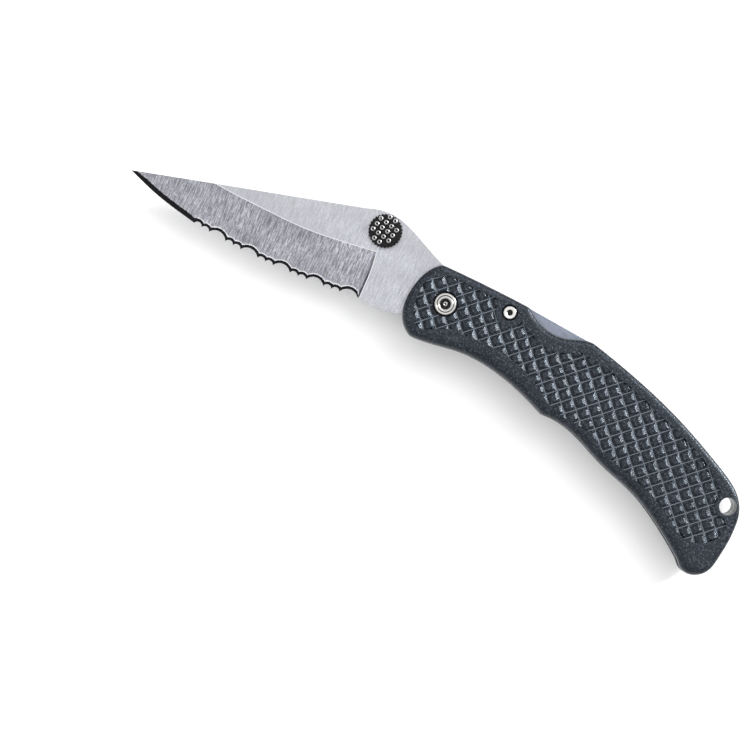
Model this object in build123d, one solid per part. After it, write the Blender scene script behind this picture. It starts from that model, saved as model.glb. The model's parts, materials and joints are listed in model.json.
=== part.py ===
from build123d import *
import math
import os

# Folding lockback rigging knife, open, lying on its pocket clip. Millimetres.
# Outlines are drawn with the pivot at the origin: +X runs to the butt, +Y to the spine,
# +Z out of the checkered side, and Z = 0 is the middle plane of the blade.
# The finished pieces are then moved together, so that the origin is at the middle of the underside.

# ---- driving dimensions ----
blade_thickness = 2.5
slot_width = 3.0
scale_thickness = 4.0
boss_height = 3.2
washer_thickness = 0.2
running_gap = 0.05

slot_z = slot_width / 2
face_z = slot_z + scale_thickness
rest_z = face_z + boss_height

blade_tip = (-84.4, -15.5)
butt_x = 92.0
butt_low_y = -22.6
cutout_rim_y = 12.3

barrel_radius = 2.0
sleeve_flange_radius = 2.75
sleeve_flange_thickness = 1.2
screw_radius = 1.3
pivot_head_radius = 1.9
boss_base_radius = 6.75
boss_top_radius = 5.8
boss_recess_radius = 3.45
boss_recess_depth = 1.7
head_washer_radius = 3.35

lock_pin_at = (14.6, 7.1)
lock_pin_radius = 1.2
lock_flange_radius = 1.6
lock_head_thickness = 0.8
lock_screw_radius = 0.7
lock_screw_head_radius = 1.85
pin_pad_radius = 3.5
flange_gap = 0.25

tang_radius = 5.6
bar_thickness = 2.6
hook_gap = 0.12

disc_at = (-22.6, 7.0)
disc_radius = 4.3
disc_height = 2.4
disc_screw_radius = 1.1
spring_thickness = 0.6

lanyard_at = (86.7, -3.1)
lanyard_radius = 2.2

panel_depth = 0.4
edge_round = 1.2
dowel_radius = 0.8
dowel_depth = 2.0
dowel_places = [(44, 8.6), (66, 5.2), (88.3, -14.0)]

big_scallop = 4.7
small_scallop = 2.15
big_depth = 1.4
small_depth = 0.8
serrations = [(-63.9, -17.75), (-42, -15.8), (-19.3, -10.7)]

clip_root_x = 23.3
clip_free_x = 28.0
clip_end_x = 78.0
clip_gap = 1.1
clip_back_height = 2.3


# ---- helpers ----
def cylinder(centre, radius, low, high):
    """A round solid along Z between two heights."""
    return Pos(centre[0], centre[1], low) * extrude(Circle(radius), high - low)


def ring(centre, outer, inner, low, high):
    """A washer-shaped solid between two heights."""
    return cylinder(centre, outer, low, high) - cylinder(centre, inner, low - 1, high + 1)


def driver_slot(centre, head_radius, head_z, turn):
    """What a screwdriver slot takes from a screw's head, turned by some degrees."""
    return Pos(centre[0], centre[1], head_z) * Rot(0, 0, turn) * Box(2 * head_radius + 1, 0.55, 0.9)


def slab(face, low, high):
    """A flat face in the XY plane thickened between two heights."""
    return Pos(0, 0, low) * extrude(face, high - low)


def closed_face(*edges):
    """A face inside a run of edges that meet end to end."""
    return make_face(Curve() + list(edges))


# ---- outlines, seen from the checkered side ----
def handle_outline():
    """Both scales: hooked butt, finger swell on the belly, thumb cutout in the spine."""
    spine_front = Spline((-6, 7.8), (5, 9.4), (18.2, 10.9))
    cutout = Spline((18.2, 10.9), (21, 9.5), (25.2, 8.6), (30, 9.5), (33.6, 11.5), (36.5, cutout_rim_y))
    spine_rear = Spline((36.5, cutout_rim_y), (50, 10.9), (65, 8.2), (80, 3.9), (87.4, 0.5), (90.8, -4.5))
    butt = Spline((90.8, -4.5), (91.8, -10), (butt_x, -15), (91.3, -20), (88.3, butt_low_y), (84, -21.2))
    belly_rear = Spline((84, -21.2), (75, -16.8), (65, -13.4), (55, -11.8), (44, -9.2), (35.5, -9.7))
    belly_front = Spline((35.5, -9.7), (27, -7.8), (20, -7.1), (10, -7.9), (0, -10.9), (-3, -11.5))
    front = Spline((-3, -11.5), (-7.6, -7.9), (-9.1, -0.5), (-7.9, 5), (-6, 7.8))
    return closed_face(spine_front, cutout, spine_rear, butt, belly_rear, belly_front, front)


def panel_outline():
    """The sunk checkered field, inside a smooth border that leaves the lock pin a round pad."""
    top_front = Spline((-5.6, 4.6), (-3, 6.3), (5, 7.4), (12, 8.3), (18, 6.9), (25, 5.1), (34.5, 8.6))
    top_rear = Spline((34.5, 8.6), (50, 8.3), (65, 5.7), (77, 2.6), (84, -1.6), (89, -7))
    bottom_rear = Spline((89, -7), (88.2, -12.4), (83, -15.7), (73, -12.4), (63, -10.3), (53, -9.2))
    bottom_middle = Spline((53, -9.2), (47, -6.8), (38, -7.2), (28, -3.5), (20, -2.4), (8, -4))
    bottom_front = Spline((8, -4), (2, -6.2), (-2.5, -8.6), (-6.6, -3.6), (-5.6, 4.6))
    panel = closed_face(top_front, top_rear, bottom_rear, bottom_middle, bottom_front)
    smooth_spots = [
        Circle(sleeve_flange_radius + flange_gap + 0.25),
        Pos(*lock_pin_at) * Circle(pin_pad_radius),
        Pos(*lanyard_at) * Circle(lanyard_radius + 1.0),
    ]
    return panel - smooth_spots


def serrated_edge():
    """The toothed stretch of the edge: pairs of small scallops between big ones, on one shallow arc."""
    base = ThreePointArc(*serrations)
    widths = [small_scallop, small_scallop, big_scallop] * 5
    teeth = []
    passed = 0
    for width in widths:
        middle = (passed + width / 2) / sum(widths)
        depth = big_depth if width == big_scallop else small_depth
        along = base % middle
        deepest = base @ middle + Vector(-along.Y, along.X) * depth
        tooth_end = base @ ((passed + width) / sum(widths))
        teeth.append(ThreePointArc(base @ (passed / sum(widths)), deepest, tooth_end))
        passed += width
    return teeth


def blade_outline():
    """Blade and tang: sloped back, thumb hump, ricasso, round tang under the lock bar's hook."""
    teeth = serrated_edge()
    shoulder_angle = 113
    belly_angle = -106
    on_tang = lambda angle: Vector(tang_radius, 0).rotate(Axis.Z, angle)
    shoulder_foot = on_tang(shoulder_angle)
    shoulder_top = (shoulder_foot.X, 7.5)
    back = Line(blade_tip, (-30, 9.1))
    hump_run = [(-30, 9.1), (-26.5, 10.8), (-21.5, 11.6), (-15, 10.4), (-10, 9.0), (-6, 8.0)]
    hump = Spline(*hump_run, shoulder_top)
    shoulder = Line(shoulder_top, shoulder_foot)
    tang = ThreePointArc(shoulder_foot, on_tang(0), on_tang(belly_angle))
    ricasso_run = [(-4.5, -6.7), (-7.5, -8.0), (-11, -9.6), (-15, -10.3)]
    ricasso = Spline(on_tang(belly_angle), *ricasso_run, teeth[-1] @ 1)
    belly = Spline(teeth[0] @ 0, (-70, -17.5), (-76, -17.0), blade_tip)
    return closed_face(back, hump, shoulder, tang, ricasso, *teeth, belly)


def lock_bar_outline():
    """Rocker: the front arm's hook sits behind the tang's shoulder, the rear arm fills the cutout."""
    hook_floor = tang_radius + hook_gap
    nose_x = -2.0
    pin_x, pin_y = lock_pin_at
    eye = 2.05
    nose_top = (nose_x, 8.25)
    tail_top = (36.0, 12.2)
    tail_low = (36.0, 8.2)
    back_front = Spline(nose_top, (6, 9.5), (19, 10.95))
    back_rear = Line((19, 10.95), tail_top)
    tail = Line(tail_top, tail_low)
    rear_floor = Line(tail_low, (18.6, 6.9))
    rear_throat = Line((18.6, 6.9), (pin_x + eye, pin_y - 0.6))
    eye_floor = ThreePointArc((pin_x + eye, pin_y - 0.6), (pin_x, pin_y - eye), (pin_x - eye, pin_y - 0.6))
    front_floor = Line((pin_x - eye, pin_y - 0.6), (3.4, 6.2))
    hook_back = Line((3.4, 6.2), (2.6, 5.2))
    hook_rise = math.sqrt(hook_floor**2 - 2.6**2)
    hook_nose = (nose_x, math.sqrt(hook_floor**2 - nose_x**2))
    hook_side = Line((2.6, 5.2), (2.6, hook_rise))
    hook_sole = ThreePointArc((2.6, hook_rise), (0, hook_floor), hook_nose)
    nose = Line(hook_nose, nose_top)
    top_and_tail = [back_front, back_rear, tail, rear_floor, rear_throat]
    return closed_face(*top_and_tail, eye_floor, front_floor, hook_back, hook_side, hook_sole, nose)


def spacer_outline():
    """Back spacer: fills the spine behind the lock bar and the butt, and leaves the belly open."""
    spine = Spline((37.2, 12.2), (50, 10.9), (65, 8.2), (80, 3.9), (87.4, 0.5), (90.8, -4.5))
    butt = Spline((90.8, -4.5), (91.8, -10), (butt_x, -15), (91.3, -20), (88.3, butt_low_y))
    end = Line((88.3, butt_low_y), (86.9, -20.6))
    well = Spline((86.9, -20.6), (86.3, -14), (82.5, -7.6), (74, -3.6), (60, 0.2), (47, 3.8))
    ledge = Line((47, 3.8), (37.2, 3.8))
    front = Line((37.2, 3.8), (37.2, 12.2))
    return closed_face(spine, butt, end, well, ledge, front)


# ---- handle ----
def scale_blank():
    """One half of the handle with its outer edge rounded, its inner face on Z = slot_z."""
    blank = slab(handle_outline(), slot_z, face_z)
    outer_edges = blank.edges().group_by(Axis.Z)[-1]
    return fillet(outer_edges, edge_round)


def common_holes(low, high):
    """What runs through both scales: the pivot, the lock pin and the lanyard hole."""
    return [
        cylinder((0, 0), barrel_radius + 0.02, low, high),
        cylinder(lock_pin_at, lock_pin_radius + 0.02, low, high),
        cylinder(lanyard_at, lanyard_radius, low, high),
    ]


def dowel_holes(low, high):
    """Blind or through holes for the pins that locate the scales on the spacer."""
    return [cylinder(place, dowel_radius + 0.02, low, high) for place in dowel_places]


def front_scale():
    """Checkered scale: sunk panel, counterbores for the sleeve's flange and the lock pin's head."""
    scale = scale_blank() - slab(panel_outline(), face_z - panel_depth, face_z + 1)
    scale -= common_holes(0, face_z + 1)
    scale -= dowel_holes(0, slot_z + dowel_depth)
    scale -= cylinder((0, 0), sleeve_flange_radius + flange_gap, face_z - sleeve_flange_thickness, face_z + 1)
    scale -= cylinder(lock_pin_at, lock_flange_radius + flange_gap, face_z - lock_head_thickness, face_z + 1)
    return scale


def boss():
    """Round boss round the pivot on the plain side, with a rounded foot."""
    foot_z = -face_z + 0.5
    top_z = -face_z - boss_height
    body = Pos(0, 0, foot_z) * extrude(Circle(boss_base_radius), -(foot_z - top_z), taper=15)
    top_edge = body.edges().group_by(Axis.Z)[0]
    return fillet(top_edge, 0.8)


def clip_face(x, spine_y, ridge_y, belly_y):
    """The clip's cross-section at one place: a low back, a ridge and a slanted belly wall."""
    corners = [
        (spine_y + 0.3, 0),
        (spine_y, clip_back_height),
        (ridge_y + 0.7, boss_height - 0.05),
        (ridge_y, boss_height),
        (ridge_y - 0.6, boss_height - 0.25),
        (belly_y, clip_gap),
        (belly_y - 0.3, 0),
    ]
    return make_face(Polyline(*[(x, y, -face_z - height) for y, height in corners], close=True))


def clip():
    """Pocket clip moulded in one with the plain scale: solid root, free tongue and a lead-in at the tail."""
    body = loft([clip_face(clip_root_x, 6.0, 1.0, -3.9), clip_face(clip_end_x, 3.6, -3.8, -8.2)])
    reach = clip_end_x - clip_free_x
    under = Pos(clip_free_x + reach, 0, -face_z - clip_gap / 2 + 0.5) * Box(2 * reach, 40, clip_gap + 1)
    lead_in = Pos(clip_end_x, 0, -face_z - clip_gap) * Rot(0, 25, 0) * Box(12, 40, 1.2)
    return body - under - lead_in


def rear_scale():
    """Plain scale with the boss and the clip."""
    scale = mirror(scale_blank(), Plane.XY)
    scale += boss()
    scale += clip()
    scale -= common_holes(-rest_z - 1, 0)
    scale -= dowel_holes(-slot_z - dowel_depth, 0)
    scale -= cylinder((0, 0), boss_recess_radius, -rest_z - 1, -rest_z + boss_recess_depth)
    scale -= cylinder(lock_pin_at, lock_screw_head_radius + 0.02, -face_z - 1, -face_z + lock_head_thickness)
    return scale


def back_spacer():
    """Spacer between the scales, with a groove in its front for the leaf spring."""
    spacer = slab(spacer_outline(), -slot_z, slot_z)
    spacer -= cylinder(lanyard_at, lanyard_radius, -slot_z - 1, slot_z + 1)
    spacer -= dowel_holes(-slot_z - 1, slot_z + 1)
    return spacer - slab(spring_outline(grow=0.02), -slot_z - 1, slot_z + 1)


def spacer_dowels():
    """Pins that locate the two scales on the spacer."""
    reach = slot_z + dowel_depth - 0.1
    return [cylinder(place, dowel_radius, -reach, reach) for place in dowel_places]


# ---- blade and lock ----
def grind_cut():
    """What the hollow grind takes from one face: a shallow concave trough from the grind line to the edge."""
    depth = blade_thickness / 2 - 0.12
    width = 12.2
    length = 80
    profile = closed_face(
        ThreePointArc((0, 0), (-width / 2, -depth / 2 - 0.12), (-width, -depth)),
        Line((-width, -depth), (-width - 8, -depth - 0.05)),
        Line((-width - 8, -depth - 0.05), (-width - 8, 2)),
        Line((-width - 8, 2), (0, 2)),
        Line((0, 2), (0, 0)),
    )
    trough = extrude(Plane((0, 0, 0), x_dir=(0, 1, 0), z_dir=(1, 0, 0)) * profile, -length)
    return Pos(-21.8, 1.4, blade_thickness / 2) * Rot(0, 0, 11.3) * trough


def blade():
    """Blade with hollow-ground faces, a serrated edge, a pivot hole and a hole for the disc screw."""
    body = slab(blade_outline(), -blade_thickness / 2, blade_thickness / 2)
    body -= grind_cut()
    body -= mirror(grind_cut(), Plane.XY)
    body -= cylinder((0, 0), barrel_radius + running_gap, -2, 2)
    return body - cylinder(disc_at, disc_screw_radius + 0.02, -2, 2)


def thumb_disc(bore_depth):
    """Opening disc on a blade face: a low foot, a wide rim and a blind bore for the screw."""
    foot_z = blade_thickness / 2
    disc = cylinder(disc_at, disc_radius - 0.9, foot_z, foot_z + 0.9)
    rim = cylinder(disc_at, disc_radius, foot_z + 0.8, foot_z + disc_height)
    rim = chamfer(rim.edges().filter_by(GeomType.CIRCLE), 0.25)
    return disc + rim - cylinder(disc_at, disc_screw_radius + 0.02, 0, foot_z + bore_depth)


def thumb_disc_screw():
    """Headless screw through the blade that joins the two discs."""
    reach = blade_thickness / 2 + 1.3
    return cylinder(disc_at, disc_screw_radius, -reach, reach)


def lock_bar():
    """The rocking lock bar with its pin hole."""
    bar = slab(lock_bar_outline(), -bar_thickness / 2, bar_thickness / 2)
    return bar - cylinder(lock_pin_at, lock_pin_radius + running_gap, -3, 3)


def spring_outline(grow=0.0):
    """Side view of the leaf spring: its rear sits in the spacer, its front bears up on the lock bar."""
    top = [(25.6, 6.9), (28, 7.5), (31, 7.45), (38, 6.2), (46.5, 5.5)]
    upper = Spline(*[(x, y + grow) for x, y in top])
    lower = Spline(*[(x, y - spring_thickness - grow) for x, y in reversed(top)])
    return closed_face(upper, Line(upper @ 1, lower @ 0), lower, Line(lower @ 1, upper @ 0))


def lock_spring():
    """Leaf spring that pushes the rear arm up and so holds the hook down."""
    return slab(spring_outline(), -1.2, 1.2)


def lock_pin():
    """Flanged sleeve that the lock bar rocks on, with a dimple in its front face."""
    pin = cylinder(lock_pin_at, lock_pin_radius, -face_z + lock_head_thickness + 0.1, face_z - 0.2)
    pin += cylinder(lock_pin_at, lock_flange_radius, face_z - lock_head_thickness, face_z - 0.05)
    pin -= cylinder(lock_pin_at, 0.75, face_z - 0.6, face_z)
    return pin - cylinder(lock_pin_at, lock_screw_radius + 0.02, -face_z, 3)


def lock_screw():
    """Slotted screw that closes the lock pin from the plain side."""
    head_low = -face_z + 0.05
    head_high = -face_z + lock_head_thickness
    screw = cylinder(lock_pin_at, lock_screw_head_radius, head_low, head_high)
    screw += cylinder(lock_pin_at, lock_screw_radius, head_high, 2.8)
    return screw - driver_slot(lock_pin_at, lock_screw_head_radius, head_low, 35)


# ---- pivot ----
def pivot_sleeve():
    """Flanged tube that the blade turns on: turned face in front, tapped bore behind."""
    flange_low = face_z - sleeve_flange_thickness
    flange_top = face_z - 0.05
    sleeve = cylinder((0, 0), barrel_radius, -face_z - 1.0, flange_low)
    sleeve += chamfer(
        cylinder((0, 0), sleeve_flange_radius, flange_low, flange_top).edges().group_by(Axis.Z)[-1], 0.15
    )
    sleeve -= ring((0, 0), 2.15, 2.0, flange_top - 0.2, face_z + 1)
    sleeve -= ring((0, 0), 1.5, 0.6, flange_top - 0.9, face_z + 1)
    return sleeve - cylinder((0, 0), screw_radius + 0.02, -face_z - 2, 2.5)


def pivot_screw():
    """Slotted screw that closes the pivot from the plain side."""
    head_low = -rest_z + 0.25
    head_high = -face_z - 1.02
    screw = cylinder((0, 0), pivot_head_radius, head_low, head_high)
    screw += cylinder((0, 0), screw_radius, head_high, 2.3)
    return screw - driver_slot((0, 0), pivot_head_radius, head_low, 20)


def pivot_head_washer():
    """Washer in the boss, under the screw's head."""
    low = -rest_z + boss_recess_depth
    return ring((0, 0), head_washer_radius, pivot_head_radius + 0.05, low - 0.8, low)


def blade_washer():
    """Thin washer between the tang and the front scale."""
    return ring((0, 0), 5.0, barrel_radius + 0.02, slot_z - washer_thickness, slot_z)


def flipped(shape):
    """The same piece on the other side of the blade."""
    return mirror(shape, Plane.XY)


nodes = {
    "front_scale": front_scale(),
    "rear_scale": rear_scale(),
    "back_spacer": back_spacer(),
    "spacer_dowels": spacer_dowels(),
    "blade": blade(),
    "thumb_disc_front": thumb_disc(1.5),
    "thumb_disc_rear": flipped(thumb_disc(1.5)),
    "thumb_disc_screw": thumb_disc_screw(),
    "blade_washer_front": blade_washer(),
    "blade_washer_rear": flipped(blade_washer()),
    "pivot_sleeve": pivot_sleeve(),
    "pivot_screw": pivot_screw(),
    "pivot_head_washer": pivot_head_washer(),
    "lock_bar": lock_bar(),
    "lock_pin": lock_pin(),
    "lock_screw": lock_screw(),
    "lock_spring": lock_spring(),
}

solids = {name: list(shape) if isinstance(shape, list) else shape.solids() for name, shape in nodes.items()}
box = Compound([solid for group in solids.values() for solid in group]).bounding_box()
to_underside = Pos(-box.center().X, -box.center().Y, -box.min.Z)

os.makedirs("parts", exist_ok=True)
for name, group in solids.items():
    export_step(to_underside * Compound(group), f"parts/{name}.step")
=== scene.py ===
import itertools
import json
import math

import bmesh
import bpy
import numpy as np
from mathutils import Matrix, Vector
from mathutils.geometry import delaunay_2d_cdt


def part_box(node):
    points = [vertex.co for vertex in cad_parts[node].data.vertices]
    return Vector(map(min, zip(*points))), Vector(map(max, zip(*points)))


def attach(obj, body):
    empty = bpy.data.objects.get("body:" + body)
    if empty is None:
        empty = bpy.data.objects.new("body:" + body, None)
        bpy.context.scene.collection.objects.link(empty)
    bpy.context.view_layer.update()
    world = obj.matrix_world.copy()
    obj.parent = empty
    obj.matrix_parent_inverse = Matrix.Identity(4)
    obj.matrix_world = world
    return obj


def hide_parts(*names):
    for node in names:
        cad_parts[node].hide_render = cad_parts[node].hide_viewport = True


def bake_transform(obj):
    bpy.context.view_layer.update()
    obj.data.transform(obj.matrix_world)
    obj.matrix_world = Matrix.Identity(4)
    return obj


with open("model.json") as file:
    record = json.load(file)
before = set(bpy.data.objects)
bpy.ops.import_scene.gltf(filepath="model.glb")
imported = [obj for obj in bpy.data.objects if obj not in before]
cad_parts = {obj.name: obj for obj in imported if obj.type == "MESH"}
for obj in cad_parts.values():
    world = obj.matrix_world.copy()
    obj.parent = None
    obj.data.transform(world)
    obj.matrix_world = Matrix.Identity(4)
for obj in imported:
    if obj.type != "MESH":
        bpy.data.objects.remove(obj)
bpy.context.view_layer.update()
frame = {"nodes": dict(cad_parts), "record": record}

# A folding rigging knife lying open on a pale floor.
# Shapes are worked out in millimetres about the pivot: X to the butt, Y to the spine, Z up from the floor.
MM = 0.001
nodes = frame["nodes"]
pivot_low, pivot_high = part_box("pivot_sleeve")
PIVOT = (pivot_low + pivot_high) / 2
ORIGIN = Vector((PIVOT.x, PIVOT.y, 0))


def box_mm(node):
    """A CAD node's lowest and highest corners, in millimetres about the pivot."""
    low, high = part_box(node)
    return (low - ORIGIN) / MM, (high - ORIGIN) / MM


def centre_mm(node):
    """The middle of a CAD node in plan, in millimetres about the pivot."""
    low, high = box_mm(node)
    return np.array((low + high).xy) / 2


LOCK_PIN = centre_mm("lock_pin")
DISC = centre_mm("thumb_disc_front")
lanyard_mount = next(m for m in frame["record"]["mounts"] if m["name"] == "lanyard_hole")
LANYARD_HOLE = (np.array(lanyard_mount["pos_m"][:2]) - np.array(ORIGIN.xy)) / MM
FACE_Z = box_mm("front_scale")[1].z
FRONT_INNER_Z = box_mm("front_scale")[0].z
REAR_INNER_Z = box_mm("rear_scale")[1].z
REAR_FACE_Z = REAR_INNER_Z - (FACE_Z - FRONT_INNER_Z)
BLADE_MID_Z = sum(corner.z for corner in box_mm("blade")) / 2


# ---------------------------------------------------------------- mesh helpers
def linked(name, data):
    """A mesh, light or camera as an object in the scene."""
    piece = bpy.data.objects.new(name, data)
    bpy.context.scene.collection.objects.link(piece)
    return piece


def loose_object(name, points, faces):
    """A mesh from points in millimetres about the pivot, linked to the scene."""
    mesh = bpy.data.meshes.new(name)
    mesh.from_pydata([ORIGIN + Vector(p) * MM for p in points], [], faces)
    return linked(name, mesh)


def mesh_object(name, shell, body, node, materials, crease=35):
    """A shell as the piece that stands for a CAD node, smooth except across edges sharper than crease."""
    piece = loose_object(name, shell.points, shell.faces)
    for material in materials:
        piece.data.materials.append(material)
    piece.data.polygons.foreach_set("material_index", shell.slots)
    tidy_mesh(piece.data, crease)
    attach(piece, body)
    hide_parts(node)
    return piece


def tidy_mesh(mesh, crease):
    """Merges doubles, turns the faces outward and marks sharp edges."""
    work = bmesh.new()
    work.from_mesh(mesh)
    bmesh.ops.remove_doubles(work, verts=work.verts, dist=1e-7)
    bmesh.ops.dissolve_degenerate(work, edges=work.edges, dist=1e-8)
    bmesh.ops.recalc_face_normals(work, faces=work.faces)
    limit = math.radians(crease)
    for edge in work.edges:
        edge.smooth = not (len(edge.link_faces) == 2 and edge.calc_face_angle(0) > limit)
    for face in work.faces:
        face.smooth = True
    work.to_mesh(mesh)
    work.free()


def apply_modifiers(piece, crease):
    """Makes a piece's modified mesh its own."""
    bpy.context.view_layer.update()
    piece.data = bpy.data.meshes.new_from_object(piece.evaluated_get(bpy.context.evaluated_depsgraph_get()))
    piece.modifiers.clear()
    tidy_mesh(piece.data, crease)


def plane_loops(node, height):
    """The closed border loops of a CAD node's flat faces at one height, longest first."""
    mesh = nodes[node].data
    points = (np.array([v.co for v in mesh.vertices]) - np.array(ORIGIN)) / MM
    corners = [(round(x, 4), round(y, 4)) for x, y, _ in points]
    counts = {}
    for polygon in mesh.polygons:
        if all(abs(points[i][2] - height) < 2e-3 for i in polygon.vertices):
            ring = [corners[i] for i in polygon.vertices]
            for a, b in zip(ring, ring[1:] + ring[:1]):
                if (b, a) in counts:
                    counts[(b, a)] -= 1
                else:
                    counts[(a, b)] = counts.get((a, b), 0) + 1
    following = {a: b for (a, b), uses in counts.items() if uses > 0 and a != b}
    loops = []
    while following:
        start = next(iter(following))
        loop = [start]
        here = following.pop(start)
        while here != start and here in following:
            loop.append(here)
            here = following.pop(here)
        loops.append(np.array(loop))
    return sorted(loops, key=lambda loop: -side_lengths(loop).sum())


def flat_level(node, low, high):
    """The height of a CAD node's largest level face between two heights, in mm."""
    areas = {}
    for polygon in nodes[node].data.polygons:
        height = polygon.center.z / MM
        if polygon.normal.z > 0.999 and low < height < high:
            areas[round(height, 3)] = areas.get(round(height, 3), 0) + polygon.area
    return max(areas, key=areas.get)


def side_lengths(loop):
    """The lengths of a closed loop's sides."""
    return np.linalg.norm(np.roll(loop, -1, 0) - loop, axis=1)


def resampled(loop, step, smoothing=0):
    """The closed loop as evenly spaced points, optionally eased by a few rounds of averaging."""
    ends = np.concatenate([[0], np.cumsum(side_lengths(loop))])
    count = max(12, int(round(ends[-1] / step)))
    at = np.linspace(0, ends[-1], count, endpoint=False)
    closed = np.vstack([loop, loop[:1]])
    even = np.column_stack([np.interp(at, ends, closed[:, 0]), np.interp(at, ends, closed[:, 1])])
    for _ in range(smoothing):
        even = even / 2 + (np.roll(even, 1, 0) + np.roll(even, -1, 0)) / 4
    return even


def axes(turn):
    """Two directions in plan at right angles, the first turned from X."""
    across = np.array([math.cos(turn), math.sin(turn)])
    return across, np.array([-across[1], across[0]])


def circle(centre, radius, count):
    """Points round a circle, anticlockwise."""
    turn = np.linspace(0, 2 * math.pi, count, endpoint=False)
    return centre + radius * np.column_stack([np.cos(turn), np.sin(turn)])


def inside(points, loop):
    """Which points lie inside a closed loop, by counting crossings."""
    x, y = points[:, :1], points[:, 1:]
    ax, ay = loop.T[:, None]
    bx, by = np.roll(loop, -1, 0).T[:, None]
    spans = (ay > y) != (by > y)
    rise = np.where(by == ay, 1e-12, by - ay)
    crosses = spans & (x < (bx - ax) * (y - ay) / rise + ax)
    return crosses.sum(1) % 2 == 1


def in_region(points, loops):
    """Which points lie in a region given by its loops (even-odd)."""
    found = np.zeros(len(points), bool)
    for loop in loops:
        found ^= inside(points, loop)
    return found


def nearest(points, loop, closed=True):
    """Each point's distance to a loop, and the outward normal of the loop where it is nearest."""
    a = loop if closed else loop[:-1]
    b = np.roll(loop, -1, 0) if closed else loop[1:]
    along = b - a
    length2 = (along**2).sum(1)
    distances, picks = [], []
    for part in np.array_split(points, max(1, len(points) // 2000)):
        offset = part[:, None, :] - a[None]
        t = np.clip((offset * along[None]).sum(2) / length2[None], 0, 1)
        gap = np.linalg.norm(offset - t[:, :, None] * along[None], axis=2)
        picks.append(gap.argmin(1))
        distances.append(gap.min(1))
    picks = np.concatenate(picks)
    normals = np.column_stack([along[:, 1], -along[:, 0]]) / np.sqrt(length2)[:, None]
    if closed and signed_area(loop) < 0:
        normals = -normals
    return np.concatenate(distances), normals[picks]


def off_line(points, line, clearance, closed=True):
    """The points that keep clear of a line."""
    gap, _ = nearest(points, line, closed)
    return points[gap > clearance]


def signed_area(loop):
    """The area in a loop, above zero when it runs anticlockwise."""
    after = np.roll(loop, -1, 0)
    return (loop[:, 0] * after[:, 1] - after[:, 0] * loop[:, 1]).sum() / 2


def grid_points(loop, step, clear_of, clearance):
    """Staggered grid points inside a loop that keep clear of some lines."""
    low, high = loop.min(0), loop.max(0)
    rows = np.arange(low[1], high[1], step * 0.87)
    found = []
    for number, y in enumerate(rows):
        x = np.arange(low[0] + (number % 2) * step / 2, high[0], step)
        found.append(np.column_stack([x, np.full_like(x, y)]))
    found = np.vstack(found)
    found = found[inside(found, loop)]
    for line in clear_of:
        found = off_line(found, line, clearance)
    return found


class Drawing:
    """Points and lines in plan, to be triangulated together."""

    def __init__(self, loops):
        self.points = []
        self.edges = []
        for loop in loops:
            self.loop(loop)

    def loop(self, loop, closed=True):
        first = len(self.points)
        self.points += [tuple(p) for p in loop]
        last = len(loop) if closed else len(loop) - 1
        self.edges += [(first + i, first + (i + 1) % len(loop)) for i in range(last)]

    def dots(self, points):
        self.points += [tuple(p) for p in points]

    def triangles(self, outline, holes):
        """The constrained triangulation less its holes: points, triangles and the triangles' middles."""
        points, _, faces, _, _, _ = delaunay_2d_cdt([Vector(p) for p in self.points], self.edges, [], 0, 1e-5)
        plan = np.array([tuple(p) for p in points])
        faces = np.array([f for f in faces if len(f) == 3])
        middles = plan[faces].mean(1)
        solid = inside(middles, outline) & ~in_region(middles, holes)
        return plan, faces[solid], middles[solid]


class Shell:
    """Faces gathered from several patches, each with its own points, for one piece."""

    def __init__(self):
        self.points = []
        self.faces = []
        self.slots = []

    def patch(self, plan, heights, faces, slot=0):
        first = len(self.points)
        self.points += [(x, y, z) for (x, y), z in zip(plan, heights)]
        self.faces += [tuple(int(i) + first for i in face) for face in faces]
        self.slots += [slot] * len(faces)

    def wall(self, plan_a, heights_a, plan_b, heights_b, slot=0, closed=True):
        """A strip of faces between two matching lines."""
        first, count = len(self.points), len(plan_a)
        self.points += [(x, y, z) for (x, y), z in zip(plan_a, heights_a)]
        self.points += [(x, y, z) for (x, y), z in zip(plan_b, heights_b)]
        for i in range(count if closed else count - 1):
            j = (i + 1) % count
            self.faces.append((first + i, first + j, first + count + j, first + count + i))
            self.slots.append(slot)

    def lathe(self, centre, profile, count, marked=()):
        """A turned surface through (radius, height) pairs; marked stretches take the second material."""
        for number, ((r0, z0), (r1, z1)) in enumerate(zip(profile, profile[1:])):
            inner, outer = circle(centre, max(r0, 1e-4), count), circle(centre, max(r1, 1e-4), count)
            self.wall(inner, [z0] * count, outer, [z1] * count, int(number in marked))


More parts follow.
